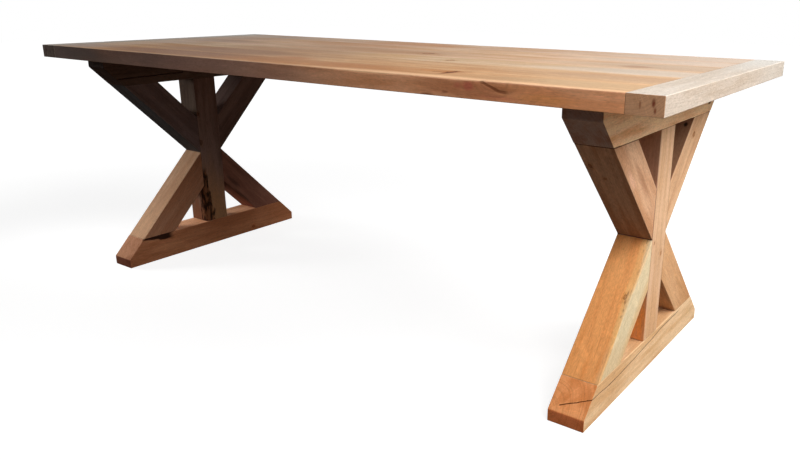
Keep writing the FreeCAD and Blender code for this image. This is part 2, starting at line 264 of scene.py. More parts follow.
FLOOR_HALF = 14.0
floor = mesh_object("floor", [(x * FLOOR_HALF, y * FLOOR_HALF, 0)
                              for x, y in ((-1, -1), (1, -1), (1, 1), (-1, 1))], [(0, 1, 2, 3)])
floor.data.materials.append(floor_material())

ROOM_LIGHT = 0.08


def room_air():
    """White where the room is seen, and a weak even light where it lights."""
    bench = Bench("room", world=True)
    strength = seen(bench, "Camera", "Glossy") * (1 - ROOM_LIGHT) + ROOM_LIGHT
    return bench.close(bench.node("Background", {}, {"Color": (1, 1, 1, 1), "Strength": strength}))


scene.world = room_air()
print("room light", ROOM_LIGHT)

# %% [markdown]
# Area lamps are used because their size sets how soft a shadow's edge is. A strong one to the
# right is the window, and weaker ones fill in from the front, the low right and the left. A Sun
# lamp would be simpler, but it lights both ends alike, and here the left end stands in the
# room's dim part.

# %% Lamps
TABLE, LEFT_FOOT = (0.8, 0.0, 0.5), (-0.88, -0.22, 0.12)
LAMPS = {                      # place, aim, width, spread in degrees, power in watts
    "window_right": ((3.00, 0.74, 2.82), TABLE, 2.0, 180, 120),
    "low_right": ((2.6, 0.2, 1.3), TABLE, 1.2, 180, 11),
    "near_front": ((2.0, -1.2, 1.9), TABLE, 1.0, 180, 28),
    "low_left": ((-2.1, -0.75, 0.72), LEFT_FOOT, 0.5, 50, 1.5),
    "back_left": ((-3.2, 2.6, 1.5), TABLE, 2.0, 180, 6),
}


def hang_lamp(name, place, aim, width, spread, power):
    """A square area lamp turned to its aim; a small spread keeps its light in a beam."""
    lamp = bpy.data.lights.new(name, "AREA")
    lamp.shape, lamp.size, lamp.energy = "SQUARE", width, power
    lamp.spread = math.radians(spread)
    stand = add_object(name, lamp)
    stand.location = place
    stand.rotation_euler = (Vector(aim) - Vector(place)).to_track_quat("-Z", "Y").to_euler()
    stand.visible_camera = False


for lamp_name, settings in LAMPS.items():
    hang_lamp(lamp_name, *settings)
scene.view_settings.view_transform = "Standard"
print(len(LAMPS), "lamps", sum(settings[-1] for settings in LAMPS.values()), "W")

# %% [markdown]
# ## The surface of a timber
# Every timber of the table is a straight bar: a board, a beam, a post or a brace. It could be a
# cube with a Bevel modifier, but a bevel has one width from end to end, and a worn edge
# doesn't. Here it is the skin of a block of grid lines. Each line has a `share`, how far it is
# across the flat core from 0 to 1, and a `reach` into the rounded edge from -1 to 1, so that
# one formula makes the faces, the edges and the corners.

# %% Grid lines and the numbering of the skin
ROUND_STEPS = 3
SUPPORT = 0.0008


def grid_lines(length, spacing, extra=()):
    """Shares at about one spacing, with a line close to both ends, then the rounding's reaches.

    A reach is the tangent of an angle from 0 to 45 degrees, so the arc's steps come out equal."""
    even = np.linspace(0, 1, max(2, round(length / spacing)) + 1)
    core = np.unique(np.round(np.concatenate([even, [SUPPORT / length, 1 - SUPPORT / length], extra]), 6))
    bend = np.tan(np.linspace(0, math.pi / 4, ROUND_STEPS + 1))[1:]
    share = np.concatenate([np.zeros(ROUND_STEPS), core, np.ones(ROUND_STEPS)])
    reach = np.concatenate([-bend[::-1], np.zeros(len(core)), bend])
    return share, reach


def skin(counts):
    """Numbers the outer points of a block of grid lines, and lists its four-sided faces."""
    inside = np.zeros(counts, bool)
    inside[1:-1, 1:-1, 1:-1] = True
    number = np.full(counts, -1)
    number[~inside] = np.arange((~inside).sum())
    faces = []
    for axis in range(3):
        turned = number.transpose(axis, (axis + 1) % 3, (axis + 2) % 3)
        for layer, flip in ((turned[-1], False), (turned[0], True)):
            ring = [layer[:-1, :-1], layer[1:, :-1], layer[1:, 1:], layer[:-1, 1:]]
            faces.append(np.stack(ring[::-1] if flip else ring, -1).reshape(-1, 4))
    return np.nonzero(~inside), np.concatenate(faces)


print("rounding lines", grid_lines(0.092, 0.03)[1].round(2))

# %% [markdown]
# ## Hand planing, eased edges and missing corners
# A planed timber is never quite flat, and its edges are broken with a few strokes, harder in one
# place than in another. Where the tree's own rounded outside is left on a corner, a maker
# calls it wane. All three are the same kind of thing: a number that changes along the timber.

# %% Unevenness and edge radius
PLANED_DEPTH, PLANE_STROKE = 0.00035, (0.16, 0.03, 0.03)
CORNERS = ((-1, -1), (-1, 1), (1, -1), (1, 1))


def wander(place, sizes, seed):
    """A slow unevenness from -1 to 1: the mean of six sine waves of drawn directions."""
    draw = np.random.default_rng(seed)
    turns = draw.normal(size=(6, 3)) / np.array(sizes)
    return np.clip(np.sin(place @ turns.T + draw.uniform(0, 6.28, 6)).mean(1) * 1.7, -1, 1)


def ease(value, low, high):
    """0 below low and 1 above high, with a smooth S between."""
    part = np.clip((value - low) / (high - low), 0, 1)
    return part * part * (3 - 2 * part)


def whole(radius):
    """One radius over the full length: a span as (low, high, soft, radius)."""
    return -2, 2, 0.1, radius


def four_edges(*spans):
    """The same spans for all four long edges, each named by its sign to the side and in depth."""
    return {corner: list(spans) for corner in CORNERS}


def edge_radius(along, spans):
    """An edge's radius along the grain: each span is blended in over the ones before it."""
    result = along * 0
    for low, high, soft, radius in spans:
        share = ease(along, low - soft, low + soft) * ease(-along, -high - soft, -high + soft)
        result = result * (1 - share) + radius * share
    return result


NOSE_EASE = 0.003


def sawn(axis, at):
    """One saw cut, square to an axis of the frame, as a list of one point and its normal."""
    point, normal = [0, 0, 0], [0, 0, 0]
    point[axis], normal[axis] = at, 1
    return [(point, normal)]


def cut(planes, base, grain, farther):
    """How far along the grain each fibre runs: the nearest plane's distance, with the two
    distances blended where they differ by less than the ease, which rounds the ridge."""
    ends = [((np.array(point) - base) @ np.array(normal)) / (grain @ np.array(normal))
            for point, normal in planes]
    end, *rest = ends
    for other in rest:
        gap = (other - end) * farther
        share = np.clip(0.5 + gap / (2 * NOSE_EASE), 0, 1)
        end = other * (1 - share) + end * share - farther * NOSE_EASE * share * (1 - share) * 0.5
    return end


print("edge radius", edge_radius(np.linspace(-1, 1, 5), [whole(0.002), (0.4, 2, 0.1, 0.01)]).round(4))

# %% [markdown]
# ## The timber itself
# A bar is worked out along its grain, to its side and into its depth. A sloped end could be cut
# with a Boolean, but that leaves a sharp edge and slivers of faces. Here each fibre of the grid
# runs on until it meets the saw cut's plane, so the slope is exact and its edge is rounded.

# %% A bar from its grid, its edges and its saw cuts
SEEDS = dict(plank=100, board=120, beam=140, post=160, brace=180)


class Timber:
    """A straight bar of oak: its axes, its size and its saw cuts at both ends."""

    def __init__(self, name, centre, grain, side, size_side, size_deep, start, stop, seed):
        self.name, self.seed = name, seed
        self.centre, self.grain, self.side = (np.array(v, float) for v in (centre, grain, side))
        self.deep = np.cross(self.grain, self.side)
        self.half = size_side / 2, size_deep / 2
        self.start, self.stop = start, stop

    def surface(self, spacing, step, edges, end_radius=0.0005, end_low=None, nose=()):
        """Every grid point is core + radius x direction, with direction = reach / |reach|.

        The core's sides stand one edge radius inside the timber's faces, and its ends one end
        radius inside the saw cuts, so a point with one reach of 1 lies on a face, and a point
        with two or three lies on the arc between them. Unevenness goes inwards."""
        across, deepness = self.half
        ends = [abs(float(cut(planes, self.centre, self.grain, 1 if planes is self.stop else -1)))
                for planes in (self.start, self.stop)]
        length = sum(ends)
        share_a, reach_a = grid_lines(2 * across, spacing[0], nose)
        share_b, reach_b = grid_lines(2 * deepness, spacing[1])
        share_t, reach_t = grid_lines(length, step)
        (i, j, k), faces = skin((len(share_a), len(share_b), len(share_t)))
        sa, sb, st = share_a[i], share_b[j], share_t[k]
        reach = np.stack([reach_a[i], reach_b[j], reach_t[k]], -1)
        direction = reach / np.linalg.norm(reach, axis=1, keepdims=True)
        rough_t = -ends[0] + length * st
        r = {corner: edge_radius(rough_t, edges[corner]) for corner in CORNERS}
        low_a = r[-1, -1] * (1 - sb) + r[-1, 1] * sb
        high_a = r[1, -1] * (1 - sb) + r[1, 1] * sb
        low_b = r[-1, -1] * (1 - sa) + r[1, -1] * sa
        high_b = r[-1, 1] * (1 - sa) + r[1, 1] * sa
        a = (low_a - across) * (1 - sa) + (across - high_a) * sa
        a = a + np.where(reach[:, 0] > 0, high_a, low_a) * direction[:, 0]
        b = (low_b - deepness) * (1 - sb) + (deepness - high_b) * sb
        b = b + np.where(reach[:, 1] > 0, high_b, low_b) * direction[:, 1]
        place = np.stack([rough_t, a, b], -1)
        inwards = PLANED_DEPTH * (0.5 + 0.5 * wander(place, PLANE_STROKE, self.seed))
        a = a - inwards * direction[:, 0]
        b = b - inwards * direction[:, 1]
        base = self.centre + a[:, None] * self.side + b[:, None] * self.deep
        first = cut(self.start, base, self.grain, -1)
        last = cut(self.stop, base, self.grain, 1)
        end = end_radius if end_low is None else end_low * (1 - sa) + end_radius * sa
        t = (first + end) * (1 - st) + (last - end) * st + end * direction[:, 2]
        points = base + t[:, None] * self.grain
        return mesh_object(self.name, points.tolist(), faces.tolist(), smooth=True)

    def axes(self):
        """Turn and shift that bring the grain to X, the side to Y and the depth to Z."""
        turn = Matrix((self.grain, self.side, self.deep))
        return turn.to_euler(), -(turn @ Vector(self.centre))


def finish_piece(piece, timber_material, node):
    """Dresses a finished piece and puts it in the CAD node's place."""
    piece.data.materials.append(timber_material)
    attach(piece, BODY)
    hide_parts(node)
    print(piece.name, "stands for", node, "points", len(piece.data.vertices))


# %% [markdown]
# ## Oak
# Oak is a bundle of growth rings round a pith. Each ring starts with a porous, darker band and
# ends in a dense, smooth one; rays run outwards from the pith; the outer rings are pale
# sapwood. Painting that on each face would break at the edges, so the pattern is worked out in
# the wood itself: every point has a distance from the pith, and the faces cut through the rings
# as a saw does. That gives arches on one face, stripes on the next and arcs on the end grain.

# %% Where a point lies in the log
SWAY, SWAY_WAVES = 0.03, (2.4, 7.0, 7.0)


class Wood:
    """One timber's oak in the making: its bench, its coordinates, and its colour and height so far.

    Lengths are measured from the timber's middle. The radius is the distance from the pith,
    the root of the two offsets squared, and noise bends it a little, as a real log is bent."""

    def __init__(self, name, timber, pith, drift):
        self.bench, self.timber, self.seed = Bench(name), timber, timber.seed
        turn, shift = timber.axes()
        self.corners = self.bench.node("TexCoord", output=3)
        self.place = self.bench.node("Mapping", {"vector_type": "POINT"},
                                     {"Vector": self.corners, "Location": shift, "Rotation": turn})
        self.along, self.side, self.depth = self.bench.parts(self.place)
        bend = self.bench.parts(self.noise(SWAY_WAVES, 0, output=1))
        from_a = self.side - pith[0] - self.along * drift[0] + (bend[0] - 0.5) * SWAY
        from_b = self.depth - pith[1] - self.along * drift[1] + (bend[1] - 0.5) * SWAY
        self.radius = (from_a * from_a + from_b * from_b) ** 0.5
        self.angle = from_b.maths("ARCTAN2", from_a)
        self.endwise = self.bench.step(self.facing(timber.grain).maths("ABSOLUTE"), 0.4, 0.75)

    def noise(self, stretch, number, detail=2.0, rough=0.5, output=0):
        """Noise in the timber's own axes; the number picks another noise of the same timber."""
        return self.bench.noise(self.place, stretch, self.seed + number, detail, rough, output)

    def facing(self, direction):
        """How far a face looks along a direction: 1 when straight at it, below 0 when away."""
        normal = self.bench.node("TexCoord", output=1)
        return self.bench.node("VectorMath", {"operation": "DOT_PRODUCT"},
                               [normal, tuple(float(value) for value in direction)], 1)

    def away(self, point, size):
        """Distance from a point of the timber, counted in three sizes, so 1 is an egg's skin."""
        off = self.bench.node("VectorMath", {"operation": "SUBTRACT"}, [self.place, tuple(point)])
        off = self.bench.node("VectorMath", {"operation": "DIVIDE"}, [off, tuple(size)])
        return self.bench.node("VectorMath", {"operation": "LENGTH"}, [off], 1)

    def paint(self, share, colour, how="MIX"):
        """Lays one more colour over what is there."""
        self.colour = self.bench.blend(share, self.colour, colour, how)


print("a log sways by", SWAY, "m")

# %% [markdown]
# ## Knots
# A knot is the root of a branch. It could be a dark spot painted on the face, but the rings of
# real wood swell round it and the grain runs past in a wave. So the rings' radius is pushed
# outwards near each knot first, and the dark core comes later, on top.

# %% Knots bend the rings
KNOT_LONG, KNOT_WIDE, KNOT_PUSH = 3.6, 2.0, 1.3


def bend_rings(wood, knots):
    """A knot has a point, the way in which its branch grew across the grain, a size, how slim it
    is along the grain, and how dark its core is. The swelling is exp(-distance squared)."""
    wood.knots, wood.near = [], None
    for (along, side, depth), way, size, slim, dark in knots:
        way = np.array(way) / np.linalg.norm(way)
        off_t = wood.along - along
        off_c = (wood.depth - depth) * float(way[0]) - (wood.side - side) * float(way[1])
        swell = off_t * off_t * (KNOT_LONG * size) ** -2 + off_c * off_c * (KNOT_WIDE * size) ** -2
        near = (-swell).maths("EXPONENT")
        wood.radius = wood.radius + near * (KNOT_PUSH * size)
        wood.near = near if wood.near is None else wood.near.maths("MAXIMUM", near)
        wave = wood.noise((90.0, 90.0, 90.0), 5, 1.0) * 1.3 + 0.35
        ratio = (off_t * off_t * slim ** 2 + off_c * off_c) ** 0.5 * (1 / size) * wave
        wood.knots.append((ratio, dark))


print("a knot pushes the rings by", KNOT_PUSH, "of its size")

# %% [markdown]
# ## Tones and grain
# Seen from a few steps off, oak is first of all clouds of two near tones, drawn out along the
# grain; then darker streaks that follow the rings; and only then the rings themselves.

# %% Tones, stains, painted shade and sheen, and sapwood
EVEN = (1.0, 1.0, 1.0)     # a stretch that changes nothing
CLOUD_LONG = 0.25
SPLIT_BROWN = (50, 27, 16)


def mix_tones(wood, tones, streaks):
    """Clouds and figure share out the light and the deep tone, and streaks follow the rings.

    Here and in every list below, a colour is three screen values from 0 to 255."""
    light, deep, streak = (srgb(*tone) for tone in tones)
    bench = wood.bench
    wood.light, wood.dull = light, tuple(0.6 * value for value in deep[:3]) + (1.0,)
    wood.cloud = wood.noise((1.8, 8.0, 8.0), 4)
    figure = wood.noise((5.0, 36.0, 36.0), 13, 3.0, 0.6)
    ringed = bench.vector(wood.along * 2.0, wood.radius * 38.0, wood.angle * 3.0)
    slow = bench.noise(ringed, EVEN, wood.seed + 2, 3.0, 0.6)
    quick = bench.noise(ringed, (2.2, 3.4, 2.0), wood.seed + 3, 2.0, 0.6)
    mixed = bench.step(slow * 0.3 + wood.cloud * 0.35 + figure * 0.35, 0.42, 0.58)
    wood.colour = bench.blend(mixed, light, deep)
    wood.paint(bench.step(quick, 0.5, 0.72) * streaks, streak)


def stain_or_painted_light(wood, patches):
    """Another tone round each point, real staining or painted shade or sheen: a ragged egg, or a soft cloud
    where it is long.
    """
    for number, (point, size, colour, amount) in enumerate(patches):
        stretch, ragged = ((14.0, 60.0, 60.0), 0.8) if size[0] < CLOUD_LONG else ((5.0, 16.0, 16.0), 0.45)
        ragged = (wood.noise(stretch, 20 + number) - 0.5) * ragged
        share = wood.bench.step(wood.away(point, size) + ragged, 1.0, 0.25)
        wood.paint(share * amount, srgb(*colour))


def sapwood(wood, sap):
    """The outermost rings are pale sapwood, after a yellower band and a row of dark flecks."""
    if sap is not None:
        bench = wood.bench
        start, full, yellow, pale = sap
        ragged = wood.radius + (wood.noise((9.0, 50.0, 50.0), 30, 3.0) - 0.5) * 0.020
        wood.paint(bench.step(ragged, start, start + 0.006) * 0.75, srgb(*yellow))
        wood.paint(bench.step(ragged, full - 0.005, full + 0.005) * 0.9, srgb(*pale))
        row = bench.window(ragged, full - 0.003, full - 0.001, 0.0015)
        fleck = bench.step(wood.noise((50.0, 200.0, 200.0), 31, 1.0), 0.5, 0.62)
        wood.paint(row * fleck * 0.5, srgb(*SPLIT_BROWN))


print("a stain is a soft cloud from", CLOUD_LONG, "m on")

# %% [markdown]
# Close to, each ring shows as a line of open pores, with fine fibres along it and pale rays
# across it. A Wave texture would draw rings too, but all alike; a ramp over the radius lets a
# ring start sharply and fade, and noise makes one ring wide and the next one narrow.

# %% Rings, rays, fibres and pores
END_RINGS, KNOT_RINGS = 0.5, 0.55
FIBRE, PORE, RAY = 0.2, 0.25, 0.12
RING_SHADES = ((0.0, 1.0), (0.12, 0.8), (0.34, 0.12), (0.8, 0.2), (0.93, 0.4), (1.0, 1.0))


def grain_detail(wood, ring, rings, mottle):
    """Ring lines, rays, fibres, pores and a fine mottle, laid over the tones."""
    bench = wood.bench
    drawn = bench.noise(bench.vector(wood.radius * 70.0, 0.0, wood.along * 0.5), EVEN, wood.seed + 1, 1.0)
    count = wood.radius * (1 / ring) + (drawn - 0.5) * 3.0
    grey = [(at, (value, value, value, 1)) for at, value in RING_SHADES]
    early = bench.node("ValToRGB", {"stops": grey}, [count.maths("FRACT")])
    fibre = wood.noise((16.0, 420.0, 420.0), 6, 2.0, 0.6)
    speckle = wood.noise((110.0, 300.0, 300.0), 12, 2.0, 0.7)
    pore = bench.step(wood.noise((55.0, 1300.0, 1300.0), 7, 1.0), 0.56, 0.7) * (early * 0.7 + 0.3)
    spoke = bench.noise(bench.vector(wood.along * 26.0, wood.radius * 14.0, wood.angle * 34.0), EVEN,
                        wood.seed + 8, 1.0)
    share = wood.endwise * (END_RINGS - rings) + rings
    if wood.near is not None:
        share = share + wood.near * KNOT_RINGS
    wood.paint(early * (wood.cloud * 0.8 + 0.3) * share, wood.dull)
    ray = bench.step(spoke, 0.6, 0.72)
    fleck = (speckle - 0.5) * (1.0 - wood.endwise * 0.45) * mottle
    shade = (fibre - 0.5) * FIBRE + fleck + 1.0 - pore * PORE + ray * RAY
    wood.paint(1.0, bench.vector(shade, shade, shade), "MULTIPLY")
    wood.pore, wood.height = pore, fibre * 0.5 - pore * 0.6 - early * 0.35


def tint_faces(wood, end_tint, faces):
    """End grain drinks more oil and turns darker; a tint on a single face paints light or shade onto it."""
    wood.paint(wood.endwise, wood.bench.blend(1.0, wood.colour, (*end_tint, 1.0), "MULTIPLY"))
    for direction, tint in faces:
        tinted = wood.bench.blend(1.0, wood.colour, (*tint, 1.0), "MULTIPLY")
        wood.paint(wood.bench.step(wood.facing(direction), 0.75, 0.95), tinted)


print("ring shades", RING_SHADES)

# %% [markdown]
# ## Marks over the grain
# A knot has a dark core, hands rub an edge pale, a painted highlight lies on an edge's
# rounding, and a thin shadow lies where one timber meets the next. Each is a share from 0 to 1
# with a colour of its own, laid over what is there, so a mark can be changed without touching
# the wood below it.

# %% Knot cores, worn and lit edges, and joints
KNOT_HALO, KNOT_CORE, KNOT_LINE = (0.88, 0.70, 0.52), (0.52, 0.36, 0.26), (0.24, 0.15, 0.10)
JOINT_WIDE, JOINT_DARK = 0.0018, 0.0006


def dark_knots(wood):
    """Colours each knot: a browner halo, a core and a thin dark outline."""
    bench = wood.bench
    for ratio, dark in wood.knots:
        outline = bench.window(ratio, 0.78, 1.05, 0.14) * dark
        for share, shade in ((bench.step(ratio, 2.8, 0.9) * (0.8 * dark), KNOT_HALO),
                             (bench.step(ratio, 1.0, 0.6) * (dark * 0.6), KNOT_CORE),
                             (outline, KNOT_LINE)):
            wood.paint(share, (*shade, 1.0), "MULTIPLY")
        wood.height = wood.height - outline * 0.6


def worn_and_lit_edges(wood, free, wear_and_highlight):
    """Wear by hands and cloths and a painted highlight make an edge paler, here more and there less, not
    the face at its side.
    """
    bench = wood.bench
    amount, width = wear_and_highlight
    share = bench.step(wood.noise((9.0, 20.0, 20.0), 14), 0.3, 0.6) * 0.7 + 0.3
    share = share * bench.step(wood.facing(wood.timber.side).maths("ABSOLUTE"), 0.98, 0.85)
    for value, half, signs in zip((wood.side, wood.depth), wood.timber.half, free):
        share = share * sum(bench.step(value * sign, half - width, half - width * 0.3) for sign in signs)
    wood.paint(share * amount, tuple(min(1.0, 1.3 * part + 0.05) for part in wood.light))


def joint_lines(wood, seams, amount):
    """A fitted end shows as a thin dark line, here and there more open."""
    for point, normal in seams:
        away = wood.bench.node("VectorMath", {"operation": "DOT_PRODUCT"},
                               [wood.corners, tuple(normal)], 1) - float(np.dot(point, normal))
        line = wood.bench.step(away.maths("ABSOLUTE"), JOINT_WIDE * amount, JOINT_DARK * amount)
        wood.paint(line * (wood.cloud * 0.5 + 0.25) * amount, srgb(*SPLIT_BROWN))


print("a joint's line is", JOINT_DARK * 2000, "mm wide")

# %% [markdown]
# Oak splits a little as it dries, and a missing corner may keep some bark. Both are finer than
# the mesh's grid, so they are painted as sheets and tubes that run through the wood, and the
# Bump node sinks them.

# %% Drying checks and bark
BARK_BROWN = (142, 94, 64)


def dry_checks(wood, checks):
    """A drying check is a thin dark sheet in the timber. Its course says how far to the side the
    line runs, or how deep where it is seen from the side; the sheet may tilt, and it reaches
    from near to far the other way."""
    bench = wood.bench
    for course, over, tilt, width, soft, (near, far), (colour, amount) in checks:
        across, inwards = (wood.side, wood.depth) if over == "side" else (wood.depth, wood.side)
        (start, _), (stop, _) = course[0], course[-1]
        low = min(value for _, value in course)
        rise, run = max(value for _, value in course) - low, stop - start
        stops = [((along - start) / run, ((value - low) / rise,) * 3 + (1,))
                 for along, value in course]
        way = bench.node("ValToRGB", {"stops": stops}, [(wood.along - start) * (1 / run)])
        jitter = (wood.noise((22.0, 60.0, 60.0), 10) - 0.5) * 0.004
        away = (across - way * rise - low - inwards * tilt + jitter).maths("ABSOLUTE")
        taper = bench.window(wood.along, start, stop, soft) * bench.window(inwards, near, far, 0.004)
        gap = bench.step(away, width, width * 0.35) * bench.step(taper, 0.05, 0.6)
        wood.paint(gap * amount, srgb(*colour))
        wood.height = wood.height - gap * (2.5 * amount)


def bark_pockets(wood, pockets):
    """Bark left in a missing corner: dark, flaky, and ragged where the sound wood begins."""
    bench = wood.bench
    for (low, high), side, depth, (first, last), brown in pockets:
        off_a, off_b = wood.side - side, wood.depth - depth
        rugged = wood.noise((30.0, 90.0, 90.0), 11, 3.0)
        reach = bench.step(wood.along, low, high, first, last)
        edge = (off_a * off_a + off_b * off_b) ** 0.5 + (rugged - 0.5) * reach
        flake = bench.step(edge - reach, 0.002, -0.004) * bench.window(wood.along, low, high, 0.015)
        brown = bench.step(rugged, 0.42, 0.6) * brown
        wood.paint(flake, bench.blend(brown, srgb(*SPLIT_BROWN), srgb(*BARK_BROWN)))
        wood.height = wood.height - flake * rugged * 3.0


print("bark", BARK_BROWN)

# %% [markdown]
# ## One timber's oak
# The order matters, as it does for a finisher: tones, then stains and patches of painted light
# and shade, grain and end grain with face tints of painted light and shade, and the marks on
# top. The sheen is low and the roughness high, because oiled oak hardly shines.

# %% All of it in one call
SHEEN, ROUGH = 0.06, 0.66
RELIEF, RELIEF_DEPTH = 0.5, 0.0006
ALL_FREE = ((-1, 1), (-1, 1))


def oak(name, timber, tones, pith, ring=0.0055, drift=(0.0, 0.0), knots=(), checks=(), sap=None,
        pockets=(), seams=(), seam_dark=1.0, patches=(), faces=(), streaks=0.3, rings=0.18, mottle=0.6,
        end_tint=(0.9, 0.62, 0.45), free=ALL_FREE, wear_and_highlight=(0.25, 0.003)):
    """The oak of one timber, from its tones and its list of marks."""
    wood = Wood(name, timber, pith, drift)
    bend_rings(wood, knots)
    mix_tones(wood, tones, streaks)
    sapwood(wood, sap)
    stain_or_painted_light(wood, patches)
    grain_detail(wood, ring, rings, mottle)
    tint_faces(wood, end_tint, faces)
    dark_knots(wood)
    worn_and_lit_edges(wood, free, wear_and_highlight)
    joint_lines(wood, seams, seam_dark)
    dry_checks(wood, checks)
    bark_pockets(wood, pockets)
    bench = wood.bench
    bumps = bench.node("Bump", {}, {"Strength": RELIEF, "Distance": RELIEF_DEPTH, "Height": wood.height})
    gloss = wood.pore * 0.1 + ROUGH + (wood.cloud - 0.5) * 0.12
    return bench.close(bench.node("BsdfPrincipled", {}, {
        "Base Color": wood.colour, "Roughness": gloss, "Normal": bumps, "Specular IOR Level": SHEEN}))


print("sheen", SHEEN, "roughness about", ROUGH)

# %% [markdown]
# ## The six planks of the top
# The planks run the table's length, three narrow and three wide, edge to edge. Their seams are
# barely broken, because a glued top is planed flat after it is joined. Stains, and patches of
# painted shade and sheen, are placed in a plank's own axes, and two helpers write down those on
# its upper face and its front edge.

# %% The top's sizes, and stains on its faces
TOP_Z, TOP_THICK = 0.770, 0.040
SHOULDER_X, FRONT_Y = 1.0, -0.45
NARROW, WIDE = 0.135, 0.165
MIDDLE_Z, UPPER = TOP_Z - TOP_THICK / 2, TOP_THICK / 2
SEAM, OUTER = 0.0004, 0.0016
PLANK_GRID = (0.012, 0.008), 0.009       # spacing to the side and in depth, then along the grain
BY_SIDE, BY_DEPTH = (1, 0), (0, 1)       # the two ways in which a knot's branch may have grown
TO_FRONT, TO_TOP = (0, -1, 0), (0, 0, 1)


def on_top(x, y, long, wide, colour, amount, deep=0.05):
    """A patch on a plank's upper face, real staining or painted shade or sheen; deep is how far it soaks
    in.
    """
    return (x, y, UPPER), (long, wide, deep), colour, amount


def on_front(x, z, long, high, colour, amount):
    """A patch on the front plank's front edge, real staining or painted shade."""
    return (x, -NARROW / 2, z), (long, 0.012, high), colour, amount


print("six planks are", 3 * (NARROW + WIDE), "m wide")

# %% [markdown]
# The front plank has the most to show: two knots, a dark arc on its edge, a left half and a
# front edge painted darker and greyer as shade, a right end painted paler as sheen, a front face
# tinted for the light on it, and an upper edge that hands have rubbed rounder, with a painted
# highlight along it.

# %% The front plank's marks
RED_BROWN, PINKED, SHADED = (104, 52, 26), (166, 96, 74), (140, 104, 84)
RUBBED = [(0.12, 0.70, 0.10, 0.0030), (0.31, 0.43, 0.07, 0.0065), (0.61, 0.67, 0.025, 0.0045)]
FRONT_MARKS = dict(
    knots=(((0.540, 0.034, UPPER), BY_DEPTH, 0.016, 1.5, 0.9),
           ((0.716, -NARROW / 2, 0.014), BY_SIDE, 0.019, 1.0, 0.0)),
    checks=(([(0.500, 0.020), (0.530, 0.026), (0.548, 0.040), (0.575, 0.062)],
             "side", 0.0, 0.0050, 0.006, (0.0, 0.03), (RED_BROWN, 0.65)),
            ([(0.692, 0.0165), (0.702, 0.0125), (0.718, 0.006), (0.732, 0.0012), (0.746, 0.0)],
             "depth", 0.0, 0.0046, 0.020, (-0.08, -0.05), (RED_BROWN, 0.62))),
    # the front face's tint paints the light that falls on that face
    faces=((TO_FRONT, (1.58, 1.36, 1.44)),), free=((-1,), (-1, 1)), wear_and_highlight=(0.35, 0.030),
    # painted shade: the left half darker (SHADED), and the left end greyer
    patches=(on_top(-0.42, 0.02, 0.58, 0.14, SHADED, 0.85, 0.10),
             on_top(-1.02, 0.0, 0.32, 0.14, (186, 168, 158), 0.8, 0.005),
             on_top(0.32, 0.01, 0.26, 0.09, (170, 114, 66), 0.6, 0.005),
             on_top(0.10, 0.0, 0.46, 0.12, (172, 118, 78), 0.75, 0.02),
             # painted shade: the front edge greyer and darker towards the left
             on_front(-0.30, 0.0, 0.75, 0.10, (129, 115, 107), 0.7),
             on_front(-1.10, 0.0, 0.84, 0.10, (77, 77, 74), 0.9),
             # painted sheen: the right end paler
             on_top(0.98, 0.0, 0.56, 0.10, (187, 160, 128), 0.7, 0.02),
             on_front(0.750, 0.0, 0.16, 0.04, (186, 130, 84), 0.6),
             on_front(0.73, -0.012, 0.06, 0.007, (188, 122, 92), 0.5),
             on_front(0.84, -0.006, 0.09, 0.013, (192, 138, 80), 0.5),
             on_front(0.64, 0.0, 0.16, 0.03, (150, 98, 66), 0.5),
             on_front(0.656, 0.006, 0.019, 0.013, PINKED, 0.85),
             on_front(0.629, 0.007, 0.016, 0.009, PINKED, 0.55),
             on_front(0.735, 0.006, 0.040, 0.008, (132, 84, 50), 0.4),
             on_front(0.547, -0.018, 0.022, 0.004, (96, 56, 34), 0.6),
             on_front(0.596, -0.009, 0.012, 0.004, (104, 62, 38), 0.5),
             # painted highlight: a pale band along the front arris
             on_top(0.60, -NARROW / 2, 0.62, 0.050, (240, 194, 154), 0.6, 0.004),
             on_top(0.500, 0.050, 0.11, 0.05, (184, 126, 76), 0.75, 0.005),
             on_top(0.541, 0.030, 0.013, 0.060, (112, 64, 34), 0.8, 0.005)))
print("front plank", len(FRONT_MARKS["patches"]), "stains")
